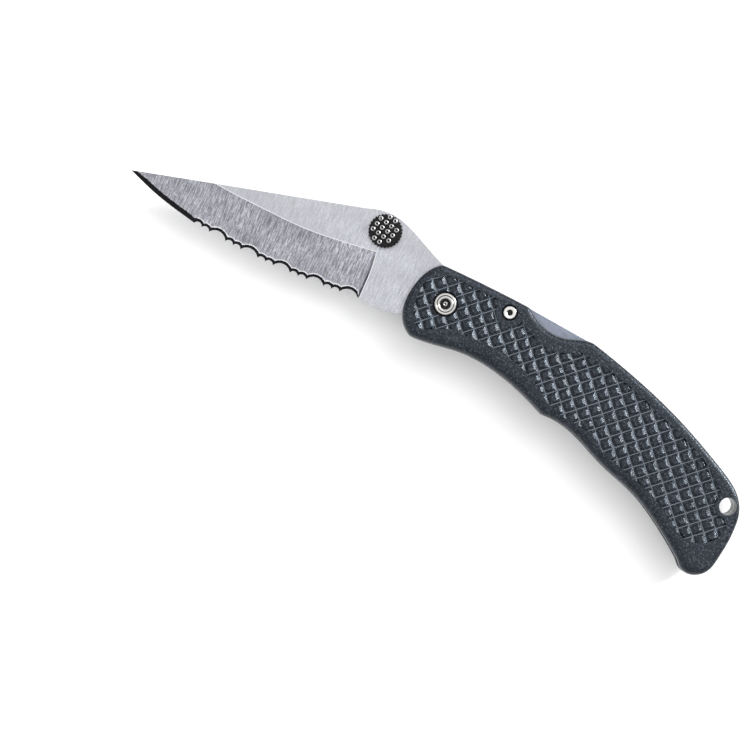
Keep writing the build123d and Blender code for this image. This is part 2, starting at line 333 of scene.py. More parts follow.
# ---------------------------------------------------------------- materials
class Paint:
    """A node material around one Principled shader; textures are laid out in millimetres on the piece."""

    def __init__(self, name, colour, metallic=0.0, roughness=0.5, **constants):
        self.material = bpy.data.materials.new(name)
        self.material.use_nodes = True
        self.tree = self.material.node_tree
        self.shader = self.tree.nodes["Principled BSDF"]
        self.shader.inputs["Base Color"].default_value = (*colour, 1)
        self.shader.inputs["Metallic"].default_value = metallic
        self.shader.inputs["Roughness"].default_value = roughness
        for socket, value in constants.items():
            self.shader.inputs[socket.replace("_", " ")].default_value = value

    def node(self, kind, **inputs):
        made = self.tree.nodes.new(kind)
        for socket, value in inputs.items():
            self.feed(made.inputs[socket.replace("_", " ")], value)
        return made

    def feed(self, socket, value):
        if isinstance(value, bpy.types.NodeSocket):
            self.tree.links.new(value, socket)
        else:
            socket.default_value = value

    def place(self, scale=(1, 1, 1), turn=0.0):
        """Coordinates on the piece in millimetres, turned about Z in degrees and then stretched."""
        where = self.node("ShaderNodeTexCoord").outputs["Object"]
        turned = self.node("ShaderNodeMapping", Vector=where, Rotation=(0, 0, math.radians(turn)))
        per_metre = [s / MM for s in scale]
        return self.node("ShaderNodeMapping", Vector=turned.outputs[0], Scale=per_metre).outputs[0]

    def noise(self, where, scale=1.0, detail=4.0, roughness=0.55):
        made = self.node("ShaderNodeTexNoise", Vector=where, Scale=scale, Detail=detail, Roughness=roughness)
        return made.outputs["Fac"]

    def between(self, value, low, high, to_low=0.0, to_high=1.0):
        """A value stretched from one range to another and held at its ends."""
        made = self.node("ShaderNodeMapRange", Value=value)
        for socket, number in zip(("From Min", "From Max", "To Min", "To Max"), (low, high, to_low, to_high)):
            made.inputs[socket].default_value = number
        return made.outputs["Result"]

    def sum(self, a, b, operation="ADD"):
        """Two values added, or joined by another operation."""
        made = self.node("ShaderNodeMath")
        made.operation = operation
        self.feed(made.inputs[0], a)
        self.feed(made.inputs[1], b)
        return made.outputs[0]

    def vector(self, operation, a, b=(0, 0, 0)):
        """The outputs of a vector sum, difference, product or length."""
        made = self.node("ShaderNodeVectorMath")
        made.operation = operation
        self.feed(made.inputs[0], a)
        self.feed(made.inputs[1], b)
        return made.outputs

    def tint(self, amount, colour_a, colour_b):
        """A colour between two, as a socket."""
        made = self.node("ShaderNodeMix")
        made.data_type = "RGBA"
        self.feed(made.inputs["Factor"], amount)
        for slot, colour in ((6, colour_a), (7, colour_b)):
            self.feed(made.inputs[slot], (*colour, 1) if isinstance(colour, tuple) else colour)
        return made.outputs[2]

    def colour(self, socket):
        self.feed(self.shader.inputs["Base Color"], socket)

    def rough(self, socket):
        self.feed(self.shader.inputs["Roughness"], socket)

    def relief(self, height, depth_mm, strength=1.0, under=None):
        """Bump of a stated depth in millimetres."""
        made = self.node("ShaderNodeBump", Height=height, Strength=strength, Distance=depth_mm * MM)
        if under is not None:
            self.feed(made.inputs["Normal"], under)
        self.feed(self.shader.inputs["Normal"], made.outputs[0])
        return made.outputs[0]


FIBRE_SPECK = (0.065, 0.072, 0.09)
COOL_SHEEN = (0.76, 0.88, 1.0, 1)


def nylon(name, dark, pale, gloss):
    """Charcoal glass-filled nylon: spark-eroded grain, pale fibre specks, handled sheen."""
    paint = Paint(name, dark, Specular_IOR_Level=gloss, Specular_Tint=COOL_SHEEN)
    where = paint.place()
    grain = paint.noise(where, 2.6, 3.0, 0.6)
    fine = paint.noise(where, 7.0, 2.0, 0.6)
    specks = paint.between(paint.noise(where, 2.1, 3.0, 0.75), 0.5, 0.7)
    clouds = paint.between(paint.noise(where, 0.12, 3.0), 0.35, 0.7)
    base = paint.tint(clouds, dark, pale)
    paint.colour(paint.tint(specks, base, FIBRE_SPECK))
    paint.rough(paint.between(grain, 0.3, 0.7, 0.17, 0.27))
    under = paint.relief(grain, 0.085, 0.9)
    paint.relief(fine, 0.03, 0.7, under)
    return paint.material


def brushed(name, colour, roughness, line_depth, turn=-10.5, streaks=0.12, lines=(4.2, 0.3)):
    """Satin steel, brushed along Y turned by some degrees; lines is their density across and along."""
    paint = Paint(name, colour, metallic=1.0, roughness=roughness)
    across, along = lines
    scratches = paint.noise(paint.place((across, along, along), turn), 1.0, 2.0, 0.6)
    hairlines = paint.noise(paint.place((across * 2.6, along * 2, along), turn), 1.0, 3.0, 0.6)
    bands = paint.noise(paint.place((across / 6, along / 3, along), turn), 1.0, 3.0, 0.6)
    sweep = paint.noise(paint.place((0.07, 0.16, 0.07), turn), 1.0, 1.0)
    grain = paint.noise(paint.place(), 1.9, 2.0, 0.6)
    dull = tuple(c * (1 - 3 * streaks) for c in colour)
    bright = tuple(min(1.0, c * (1 + streaks)) for c in colour)
    mixed = paint.tint(paint.between(scratches, 0.38, 0.62), dull, bright)
    mixed = paint.tint(paint.between(hairlines, 0.35, 0.65, 0.0, 0.4), mixed, colour)
    mixed = paint.tint(paint.between(bands, 0.4, 0.65, 0.0, 0.15), mixed, dull)
    mixed = paint.tint(paint.between(sweep, 0.35, 0.68, 0.0, 0.4), mixed, dull)
    paint.colour(paint.tint(paint.between(grain, 0.42, 0.64, 0.0, 0.5), mixed, dull))
    paint.rough(paint.between(scratches, 0.3, 0.7, roughness + 0.08, roughness - 0.05))
    under = paint.relief(scratches, line_depth)
    paint.relief(hairlines, line_depth / 2, under=under)
    return paint.material


RING_DENSITY = 42.0


def turned(name, colour, roughness, centre=(0, 0), tarnish=0.0):
    """Turned metal: fine rings about a centre, small dents and a little tarnish."""
    paint = Paint(name, colour, metallic=1.0, roughness=roughness)
    where = paint.place()
    pits = paint.noise(where, 3.0, 4.0, 0.65)
    dirty = tuple(c * 0.35 for c in colour)
    paint.colour(paint.tint(paint.between(pits, 0.5, 0.75, 0.0, 0.35 + tarnish), colour, dirty))
    paint.rough(paint.between(pits, 0.3, 0.75, roughness - 0.06, roughness + 0.2))
    axis = (centre[0] + ORIGIN.x / MM, centre[1] + ORIGIN.y / MM, 0)
    from_axis = paint.vector("MULTIPLY", paint.vector("SUBTRACT", where, axis)["Vector"], (1, 1, 0))
    reach = paint.vector("LENGTH", from_axis["Vector"])["Value"]
    rings = paint.sum(paint.sum(reach, RING_DENSITY, "MULTIPLY"), 0, "SINE")
    paint.relief(paint.sum(rings, pits), 0.006, 0.5)
    return paint.material


def black_finish(name, colour_a, colour_b, metallic, roughness):
    """Black oxide over steel, also used for painted shade in recesses: uneven colour, uneven sheen and a fine
    tooth.
    """
    paint = Paint(name, colour_a, metallic=metallic, roughness=roughness, Specular_IOR_Level=0.15)
    where = paint.place()
    rub = paint.between(paint.noise(where, 2.2, 4.0, 0.6), 0.5, 0.72)
    paint.colour(paint.tint(rub, colour_a, colour_b))
    paint.rough(paint.between(paint.noise(where, 4.0, 3.0), 0.3, 0.7, roughness - 0.08, roughness + 0.1))
    paint.relief(paint.noise(where, 6.0, 3.0), 0.012, 0.6)
    return paint.material


NYLON = nylon("handle_nylon", (0.002, 0.003, 0.005), (0.004, 0.006, 0.009), 0.36)
# Paler, glossier nylon on the groove land: a painted highlight for the light lines along the grooves.
GROOVE_HIGHLIGHT_NYLON = nylon("handle_nylon_painted_groove_highlight", (0.05, 0.058, 0.07), (0.08, 0.088, 0.105), 0.85)
# Near-black, dull nylon for the holes' walls, floors and bores: painted shade.
BORE_SHADE_NYLON = nylon("handle_nylon_painted_bore_shade", (0.001, 0.001, 0.002), (0.002, 0.002, 0.003), 0.06)
# The scales' materials: plain nylon, the groove land's painted highlight and the holes' painted shade.
SCALE_PAINTS = [NYLON, GROOVE_HIGHLIGHT_NYLON, BORE_SHADE_NYLON]
GROOVE_HIGHLIGHT_SLOT, BORE_SHADE_SLOT = 1, 2
FLAT_STEEL = brushed("blade_flat_steel", (0.485, 0.495, 0.53), 0.3, 0.012)
GROUND_STEEL = brushed(
    "blade_ground_steel", (0.455, 0.46, 0.51), 0.33, 0.05, streaks=0.235, lines=(3.6, 0.33)
)
# Paler steel for a painted highlight line along the grind line, the plunge and above the edge bevel.
RIM_HIGHLIGHT_STEEL = brushed("blade_painted_rim_highlight", (0.66, 0.66, 0.69), 0.4, 0.002, streaks=0.02)
# Near-black steel on the sharpened bevel: a painted dark reflection.
BEVEL_DARK_STEEL = brushed("blade_bevel_painted_dark_reflection", (0.014, 0.014, 0.016), 0.3, 0.006, streaks=0.1)
LOCK_STEEL = brushed("lock_steel", (0.235, 0.26, 0.32), 0.34, 0.006, turn=90, streaks=0.1)
SPRING_STEEL = brushed("spring_steel", (0.28, 0.30, 0.36), 0.32, 0.004, turn=90)
BRONZE = brushed("washer_bronze", (0.55, 0.38, 0.21), 0.35, 0.004)
PIVOT_STEEL = turned("pivot_steel", (0.52, 0.515, 0.50), 0.2)
PIN_STEEL = turned("pin_steel", (0.62, 0.615, 0.60), 0.22, tuple(LOCK_PIN))
BRASS_COLOUR = (0.74, 0.62, 0.42)
PIVOT_BRASS = turned("screw_brass", BRASS_COLOUR, 0.25, tarnish=0.2)
PIN_BRASS = turned("lock_screw_brass", BRASS_COLOUR, 0.25, tuple(LOCK_PIN), tarnish=0.2)
OXIDE = black_finish("disc_black", (0.002, 0.002, 0.002), (0.008, 0.008, 0.008), 0.0, 0.4)
RUBBED = black_finish("disc_rubbed_rings", (0.5, 0.5, 0.51), (0.24, 0.24, 0.24), 1.0, 0.3)
# Near-black painted shade for the hollow middles of the sleeve and pin heads.
RECESS_SHADE = black_finish("painted_recess_shade", (0.012, 0.012, 0.012), (0.03, 0.028, 0.026), 0.4, 0.45)


# ---------------------------------------------------------------- handle scales
# The checkering's squares slope up from the groove's land to a flat top with a small worn crater.
CHECKER_PITCH = 3.0
CHECKER_AXES = axes(math.radians(-38.5))
CHECKER_START = np.array([75.5, -0.1])
CHECKER_SLOPE = 0.88
CHECKER_RISE = 0.52
GROOVE_LAND = 0.11
CRATER_RADIUS = 0.46
CRATER_DEPTH = 0.11
PANEL_SINK = 0.6
GROOVES_EACH_WAY = 36
GROOVE_REACH = 120
SHORTEST_LINE = 0.3


def squares_along(plan):
    """Each point's place along the checkering's two directions, counted in squares."""
    return [(plan - CHECKER_START) @ axis / CHECKER_PITCH for axis in CHECKER_AXES]


def off_groove(plan):
    """Each point's distance to the nearest groove line of either direction."""
    return np.minimum(*[np.abs(s - np.round(s)) * CHECKER_PITCH for s in squares_along(plan)])


def checker_height(plan):
    """Height of the raised squares above the groove floor."""
    rise = (off_groove(plan) - GROOVE_LAND) / (CHECKER_SLOPE - GROOVE_LAND)
    from_middle = np.hypot(*[(s - np.floor(s) - 0.5) * CHECKER_PITCH for s in squares_along(plan)])
    crater = CRATER_DEPTH * np.clip(1 - from_middle / CRATER_RADIUS, 0, 1)
    return np.clip(rise, 0, 1) * CHECKER_RISE - crater


def checker_lines(region):
    """The groove and slope lines of the checkering, cut to the panel."""
    pieces = []
    for axis, along in (CHECKER_AXES, CHECKER_AXES[::-1]):
        for groove in np.arange(-GROOVES_EACH_WAY, GROOVES_EACH_WAY + 1) * CHECKER_PITCH:
            for offset in (-CHECKER_SLOPE, -GROOVE_LAND, GROOVE_LAND, CHECKER_SLOPE):
                foot = CHECKER_START + axis * (groove + offset)
                pieces += cut_line(foot - along * GROOVE_REACH, foot + along * GROOVE_REACH, region)
    return pieces


def cut_line(a, b, loops):
    """The stretches of a straight line that lie in a region given by its loops (even-odd)."""
    d = b - a
    hits = []
    for loop in loops:
        p, q = loop, np.roll(loop, -1, 0)
        e = q - p
        cross = d[0] * e[:, 1] - d[1] * e[:, 0]
        safe = np.where(np.abs(cross) < 1e-12, 1e-12, cross)
        t = ((p[:, 0] - a[0]) * e[:, 1] - (p[:, 1] - a[1]) * e[:, 0]) / safe
        u = ((p[:, 0] - a[0]) * d[1] - (p[:, 1] - a[1]) * d[0]) / safe
        hits += list(t[(u >= 0) & (u < 1) & (np.abs(cross) > 1e-12)])
    hits = sorted(hits)
    shortest = SHORTEST_LINE / np.linalg.norm(d)
    return [(a + d * s, a + d * e) for s, e in zip(hits[::2], hits[1::2]) if e - s > shortest]


def border_drop(plan, outline):
    """How far the moulded edge has rounded down: least on the spine, more on the belly and the ends."""
    gap, outward = nearest(plan, outline)
    belly = np.clip(-outward[:, 1], 0, 1) ** 1.5
    ends = np.abs(outward[:, 0]) ** 2
    width, depth = (a + b * belly + c * ends for a, b, c in (BORDER_WIDTH, BORDER_DEPTH))
    t = np.clip(1 - gap / width, 0, 1)
    return depth * (1 - np.sqrt(np.clip(1 - t**2, 0, 1)))


def rim_points(outline, depths):
    """Points just inside an outline, so that the rounded edge is smooth."""
    normal = np.roll(outline, -1, 0) - np.roll(outline, 1, 0)
    normal = np.column_stack([normal[:, 1], -normal[:, 0]]) / np.linalg.norm(normal, axis=1)[:, None]
    if signed_area(outline) < 0:
        normal = -normal
    found = []
    for depth in depths:
        line = outline - normal * depth
        gap, _ = nearest(line, outline)
        found.append(line[(gap > depth * 0.9) & inside(line, outline)])
    return np.vstack(found)


BORDER_WIDTH = (1.3, 3.0, 0.5)
BORDER_DEPTH = (1.0, 1.5, 0.2)
RIM_STEPS = (0.04, 0.14, 0.3, 0.52, 0.8)
WALL_COUNT = 64
SCALE_GRID, BLADE_GRID, EDGE_GRID = 0.42, 0.8, 0.2
SLEEVE_MOUTH, SLEEVE_BORE, SLEEVE_HEAD_DEPTH = 3.25, 2.02, 1.2
PIN_MOUTH, REAR_PIN_MOUTH, PIN_BORE, PIN_HEAD_DEPTH = 2.06, 1.88, 1.22, 0.8
LANYARD_RADIUS = 2.2


def crater_middles(region):
    """The middles of the raised squares that lie whole in the panel."""
    across, along = CHECKER_AXES
    steps = np.arange(-GROOVES_EACH_WAY, GROOVES_EACH_WAY) + 0.5
    i, j = np.meshgrid(steps, steps)
    found = CHECKER_START + CHECKER_PITCH * (i.reshape(-1, 1) * across + j.reshape(-1, 1) * along)
    found = found[in_region(found, region)]
    for loop in region:
        found = off_line(found, loop, CRATER_RADIUS + 0.1)
    return found


def sides(faces):
    """Every directed edge of some triangles."""
    return {(f[k], f[(k + 1) % 3]) for f in faces.tolist() for k in range(3)}


def single_edges(faces, others=None):
    """Directed edges that only one face uses, or that one face shares with the others."""
    forward = sides(faces)
    if others is None:
        return [(a, b) for a, b in forward if (b, a) not in forward]
    back = sides(others)
    return [(a, b) for a, b in forward if (b, a) in back]


class Well:
    """A round hole in a scale: a wide mouth, and below its floor a narrower bore to the inner face."""

    def __init__(self, centre, mouth, floor_depth=None, bore=None):
        self.centre = np.array(centre)
        self.mouth = mouth
        self.floor_depth = floor_depth
        self.bore = bore or mouth


def scale_plan(outline, mouths, panel, lines, craters, steps):
    """A scale's outer face in plan: points, triangles and the triangles' middles."""
    bounds = [*panel, *mouths, *steps]
    drawing = Drawing([outline, *bounds, *craters])
    for a, b in lines:
        drawing.loop([a, b], closed=False)
    drawing.dots([loop.mean(0) for loop in craters])
    field = grid_points(outline, SCALE_GRID, [outline], 0.9)
    field = field[~in_region(field, panel)]
    for loop in bounds:
        field = off_line(field, loop, 0.18)
    drawing.dots(field)
    drawing.dots(rim_points(outline, RIM_STEPS))
    return drawing.triangles(outline, mouths)


def moulded_scale(node, inner_z, face_z, wells, relief, panel=(), lines=(), craters=(), steps=()):
    """A scale: its rounded outer face with relief on it, its edge, its holes and its flat inner face.

    The relief gives heights above the face in plan. Steps are loops where the relief bends.
    """
    out = 1 if face_z > inner_z else -1
    outline = resampled(plane_loops(node, inner_z)[0], 0.4, 3)
    mouths = [circle(well.centre, well.mouth, WALL_COUNT) for well in wells]
    bores = [circle(well.centre, well.bore, WALL_COUNT) for well in wells]
    plan, faces, middles = scale_plan(outline, mouths, panel, lines, craters, steps)
    border_z = face_z - out * (border_drop(plan, outline) - relief(plan))
    floor_z = face_z - out * (PANEL_SINK - checker_height(plan))
    sunk = in_region(middles, panel)
    land = sunk & (off_groove(middles) < GROOVE_LAND)
    shell = Shell()
    shell.patch(plan, border_z, faces[~sunk])
    shell.patch(plan, floor_z, faces[sunk & ~land])
    # The groove land takes the paler nylon as a painted highlight line.
    shell.patch(plan, floor_z, faces[land], GROOVE_HIGHLIGHT_SLOT)
    for a, b in single_edges(faces[~sunk], faces[sunk]):
        shell.wall(plan[[a, b]], border_z[[a, b]], plan[[a, b]], floor_z[[a, b]], closed=False)
    edge_z = np.where(in_region(plan, panel), floor_z, border_z)
    for a, b in single_edges(faces):
        ends = plan[[a, b]]
        well = next((w for w in wells if abs(np.hypot(*(ends.mean(0) - w.centre)) - w.mouth) < 0.05), None)
        foot = inner_z if well is None or well.floor_depth is None else face_z - out * well.floor_depth
        # Walls going down into a hole take the painted shade nylon.
        wall_paint = 0 if well is None else BORE_SHADE_SLOT
        shell.wall(ends, edge_z[[a, b]], ends, [foot, foot], wall_paint, closed=False)
    for well, mouth, bore in zip(wells, mouths, bores):
        if well.floor_depth is not None:
            floor = [face_z - out * well.floor_depth] * WALL_COUNT
            shell.wall(mouth, floor, bore, floor, BORE_SHADE_SLOT)
            shell.wall(bore, floor, bore, [inner_z] * WALL_COUNT, BORE_SHADE_SLOT)
    plan, faces, _ = Drawing([outline, *bores]).triangles(outline, bores)
    shell.patch(plan, [inner_z] * len(plan), faces)
    return shell


def no_relief(_):
    """The front face stands at one height outside its panel."""
    return 0.0


def front_scale():
    """Checkered scale: rounded border, sunk panel of raised squares, counterbored holes."""
    sunk_floor = flat_level("front_scale", FACE_Z - 0.6, FACE_Z - 0.2)
    panel = [resampled(loop, 0.35, 1) for loop in plane_loops("front_scale", sunk_floor)]
    wells = [
        Well(centre_mm("pivot_sleeve"), SLEEVE_MOUTH, SLEEVE_HEAD_DEPTH, SLEEVE_BORE),
        Well(LOCK_PIN, PIN_MOUTH, PIN_HEAD_DEPTH, PIN_BORE),
        Well(LANYARD_HOLE, LANYARD_RADIUS),
    ]
    craters = [circle(middle, CRATER_RADIUS, 8) for middle in crater_middles(panel)]
    lines = checker_lines(panel)
    shell = moulded_scale("front_scale", FRONT_INNER_Z, FACE_Z, wells, no_relief, panel, lines, craters)
    mesh_object("front_scale_moulding", shell, "handle", "front_scale", SCALE_PAINTS, 22)


BOSS_RECESS_RADIUS, BOSS_RECESS_FLOOR = 3.45, 1.5
BOSS_PROFILE = [
    (5.0, 3.2), (5.35, 3.17), (5.75, 3.02), (6.0, 2.75), (6.15, 2.4), (6.35, 1.6),
    (6.55, 0.8), (6.75, 0.38), (7.1, 0.12), (7.6, 0.0),
]


def boss_relief(plan):
    """Height of the round boss about the pivot above the plain face."""
    radius, height = zip(*BOSS_PROFILE)
    return np.interp(np.hypot(plan[:, 0], plan[:, 1]), radius, height)


def rounded_corners(corners, radii, count=4):
    """A polygon with each corner turned into a small curve of count + 1 points."""
    found = []
    total = len(corners)
    for i, radius in enumerate(radii):
        before, here, after = (np.array(corners[(i + k) % total], float) for k in (-1, 0, 1))
        start = here + (before - here) / np.linalg.norm(before - here) * radius
        end = here + (after - here) / np.linalg.norm(after - here) * radius
        for t in np.linspace(0, 1, count + 1):
            found.append((1 - t) ** 2 * start + 2 * t * (1 - t) * here + t**2 * end)
    return np.array(found)


CLIP_ROOT_X = 23.3
CLIP_FREE_X = 28.0
CLIP_END_X = 78.0
CLIP_HEIGHT = 3.2
CLIP_BACK_HEIGHT = 2.3
CLIP_GAP = 1.1
LEAD_IN_LENGTH, LEAD_IN_LIFT = 6, 0.55


def clip_section(x, shrink=0.0):
    """The clip's cross-section at x, as (y, height above the plain face) round its edge."""
    t = (x - CLIP_ROOT_X) / (CLIP_END_X - CLIP_ROOT_X)
    spine_y, ridge_y, belly_y = 6.0 - 2.4 * t, 1.0 - 4.8 * t, -3.9 - 4.3 * t
    free = np.clip((x - CLIP_FREE_X + 0.5) / 1.0, 0, 1)
    lift = np.clip((x - CLIP_END_X + LEAD_IN_LENGTH) / LEAD_IN_LENGTH, 0, 1) * LEAD_IN_LIFT
    low = (CLIP_GAP + lift) * free**0.5 - 0.4 * (1 - free**0.5)
    back = max(CLIP_BACK_HEIGHT, low + 0.7)
    spine_side = [(spine_y, low), (spine_y - 0.15, back)]
    belly_side = [(belly_y, low + 0.55), (belly_y, low)]
    ring = rounded_corners([*spine_side, (ridge_y, CLIP_HEIGHT), *belly_side], [0.2, 0.35, 1.1, 0.25, 0.2])
    middle = ring.mean(0)
    return middle + (ring - middle) * (1 - shrink)


def clip_shell():
    """The pocket clip as a closed loft along the handle, with eased ends."""
    plain = [*np.linspace(25, 27.2, 4), *np.linspace(27.5, 28.5, 6), *np.linspace(30, 77.5, 40)]
    stations = [(CLIP_ROOT_X, 0.1), (CLIP_ROOT_X + 0.12, 0.03), (CLIP_ROOT_X + 0.4, 0.0)]
    stations += [(x, 0.0) for x in plain] + [(CLIP_END_X - 0.2, 0.03), (CLIP_END_X, 0.12)]
    points, faces = [], []
    count = len(clip_section(CLIP_ROOT_X))
    for x, shrink in stations:
        points += [(x, y, REAR_FACE_Z - height) for y, height in clip_section(x, shrink)]
    for s in range(len(stations) - 1):
        for i in range(count):
            j = (i + 1) % count
            faces.append((s * count + i, s * count + j, (s + 1) * count + j, (s + 1) * count + i))
    for first in (0, (len(stations) - 1) * count):
        faces.append(tuple(range(first, first + count)))
    return points, faces


BOOLEAN_CREASE = 35


def combine(piece, tool, operation):
    """Adds or cuts a tool piece with an exact boolean, and removes the tool."""
    modifier = piece.modifiers.new("combine", "BOOLEAN")
    modifier.operation = operation
    modifier.solver = "EXACT"
    modifier.object = tool
    apply_modifiers(piece, BOOLEAN_CREASE)
    bpy.data.objects.remove(tool)


def boolean_tool(name, points, faces):
    """A plain closed mesh that only adds to or cuts another."""
    piece = loose_object(name, points, faces)
    tidy_mesh(piece.data, BOOLEAN_CREASE)
    return piece


def rear_scale():
    """Plain scale: rounded border, boss with its recess, screw hole, and the moulded pocket clip."""
    wells = [
        Well((0, 0), BOSS_RECESS_RADIUS, -BOSS_RECESS_FLOOR, SLEEVE_BORE),
        Well(LOCK_PIN, REAR_PIN_MOUTH, PIN_HEAD_DEPTH, PIN_BORE),
        Well(LANYARD_HOLE, LANYARD_RADIUS),
    ]
    rings = [circle((0, 0), radius, 96) for radius, _ in BOSS_PROFILE]
    shell = moulded_scale("rear_scale", REAR_INNER_Z, REAR_FACE_Z, wells, boss_relief, steps=rings)
    piece = mesh_object("rear_scale_moulding", shell, "handle", "rear_scale", SCALE_PAINTS)
    combine(piece, boolean_tool("clip_tool", *clip_shell()), "UNION")


# ---------------------------------------------------------------- blade
def eased(points, step):
    """A natural cubic spline through some points, sampled about every step."""
    points = np.array(points, float)
    chord = np.concatenate([[0], np.cumsum(np.linalg.norm(np.diff(points, axis=0), axis=1))])
    gaps = np.diff(chord)
    count = len(points)
    matrix = np.eye(count)
    right = np.zeros((count, 2))
    for i in range(1, count - 1):
        matrix[i, i - 1 : i + 2] = gaps[i - 1], 2 * (gaps[i - 1] + gaps[i]), gaps[i]
        right[i] = 6 * ((points[i + 1] - points[i]) / gaps[i] - (points[i] - points[i - 1]) / gaps[i - 1])
    bends = np.linalg.solve(matrix, right)
    at = np.linspace(0, chord[-1], max(2, int(chord[-1] / step) + 1))
    k = np.clip(np.searchsorted(chord, at, side="right") - 1, 0, count - 2)
    gap, left, rest = gaps[k][:, None], (at - chord[k])[:, None], (chord[k + 1] - at)[:, None]
    curve = (bends[k] * rest**3 + bends[k + 1] * left**3) / (6 * gap)
    before = points[k] / gap - bends[k] * gap / 6
    after = points[k + 1] / gap - bends[k + 1] * gap / 6
    return curve + (before * rest + after * left)


def arc(start, through, end, count):
    """Points on the circular arc through three points, worked out on the complex plane."""
    a, b, c = (complex(*p) for p in (start, through, end))
    ratio = (c - a) / (b - a)
    centre = a + (b - a) * (ratio - abs(ratio) ** 2) / (ratio - ratio.conjugate())
    to_through, sweep = (np.angle((p - centre) / (a - centre)) % (2 * math.pi) for p in (b, c))
    if to_through > sweep:
        sweep -= 2 * math.pi
    found = centre + (a - centre) * np.exp(1j * sweep * np.linspace(0, 1, count))
    return np.column_stack([found.real, found.imag])


TIP = (-84.4, -15.5)
BACK_TOP = (-30, 9.1)
HALF_BLADE = 1.25
HALF_TIP = 0.3 * HALF_BLADE
HALF_FOOT = 0.26
HALF_EDGE = 0.05
SERRATED_FROM, SERRATED_TO = (-63.9, -17.75), (-19.3, -10.7)
BASE_COUNT = 400
TOOTH_BASE = arc(SERRATED_FROM, (-42, -15.8), SERRATED_TO, BASE_COUNT)
SMALL_TOOTH, BIG_TOOTH = 2.15, 4.7
TOOTH_DEPTHS = {SMALL_TOOTH: 0.8, BIG_TOOTH: 1.4}
TOOTH_COUNTS = {SMALL_TOOTH: 14, BIG_TOOTH: 22}
TOOTH_WIDTHS = [SMALL_TOOTH, SMALL_TOOTH, BIG_TOOTH] * 5
EDGE_END_X = -18.9
TANG_RADIUS = 5.6
GRIND_RIM = 0.17
EDGE_BAND = 1.5
EDGE_HIGHLIGHT_WIDTH = 0.22
PLUNGE_WIDTH = 0.55
GRIND_STEP = 0.07
PIVOT_HOLE, DISC_HOLE = 2.05, 1.12
GRIND_LINE = [(-64.6, -6.65), (-60, -6.3), (-50, -5.1), (-40, -3.65), (-30, -1.1), (-21.6, 1.4)]
PLUNGE_LINE = [(-21.6, 1.4), (-20.6, -1.8), (-19.6, -6.5), (-18.9, -10.45)]


def teeth_line():
    """The serrated edge from the tip end: pairs of small scallops between big ones."""
    found = [TOOTH_BASE[:1]]
    passed = 0
    for width in TOOTH_WIDTHS:
        stops = (passed, passed + width / 2, passed + width)
        at = [int(round(stop / sum(TOOTH_WIDTHS) * (BASE_COUNT - 1))) for stop in stops]
        start, middle, end = TOOTH_BASE[at]
        along = (end - start) / np.linalg.norm(end - start)
        deepest = middle + np.array([-along[1], along[0]]) * TOOTH_DEPTHS[width]
        found.append(arc(start, deepest, end, TOOTH_COUNTS[width])[1:])
        passed += width
    return np.vstack(found)


def blade_outline():
    """The blade and tang in plan, anticlockwise from the tip, and the counts of belly and tooth points."""
    belly = eased([TIP, (-76, -17.0), (-70, -17.5), SERRATED_FROM], 0.3)[:-1]
    teeth = teeth_line()
    tang_low, tang_high = (TANG_RADIUS * axes(turn)[0] for turn in np.radians([-106, 113]))
    ricasso = eased([SERRATED_TO, (-15, -10.3), (-11, -9.6), (-7.5, -8.0), (-4.5, -6.7), tang_low], 0.4)[1:]
    tang = arc(tang_low, (TANG_RADIUS, 0), tang_high, 60)[1:]
    top = (tang_high[0], 7.5)
    hump = eased([top, (-6, 8.0), (-10, 9.0), (-15, 10.4), (-21.5, 11.6), (-26.5, 10.8), BACK_TOP], 0.4)
    back = np.linspace(BACK_TOP, TIP, 120)[1:-1]
    return np.vstack([belly, teeth, ricasso, tang, hump, back]), len(belly), len(teeth)


def half_thickness(plan, edge_line):
    """Half the blade's thickness: flat, and hollow ground below the grind line.

    Also says how far each point is past the plunge line.
    """
    grind_x, grind_y = eased(GRIND_LINE, 0.5).T
    back_slope = (BACK_TOP[1] - TIP[1]) / (BACK_TOP[0] - TIP[0])
    on_back = TIP[1] + (plan[:, 0] - TIP[0]) * back_slope
    line_y = np.where(plan[:, 0] < GRIND_LINE[0][0], on_back, np.interp(plan[:, 0], grind_x, grind_y))
    below = np.clip(line_y - plan[:, 1], 0, None)
    base_gap, _ = nearest(plan, edge_line, closed=False)
    t = np.clip(below / np.maximum(below + base_gap, 1e-6), 0, 1)
    toward_tip = np.clip((plan[:, 0] - TIP[0]) / (GRIND_LINE[0][0] - TIP[0]), 0, 1)
    full = HALF_TIP + (HALF_BLADE - HALF_TIP) * toward_tip**0.8
    ground = HALF_FOOT + (full - HALF_FOOT) * (1 - t) ** 1.7
    plunge_x, plunge_y = eased(PLUNGE_LINE, 0.3).T
    past = plan[:, 0] - np.interp(-plan[:, 1], -plunge_y, plunge_x)
    blend = np.clip((past + PLUNGE_WIDTH) / PLUNGE_WIDTH, 0, 1)
    blend = blend**2 * (3 - 2 * blend)
    grind_step = GRIND_STEP * np.clip(below / 0.25, 0, 1) * (1 - blend) * toward_tip
    height = ground + (HALF_BLADE - ground) * blend - grind_step
    return np.where(below <= 0, np.minimum(full, HALF_BLADE), height), past


def bevel_width(plan):
    """Width of the sharpened bevel: broad on the plain edge, narrow on the teeth, none on the ricasso."""
    return np.interp(plan[:, 0], [-84, -80, -66, -63, -20, -19], [0.7, 1.25, 1.25, 0.72, 0.72, 0.05])


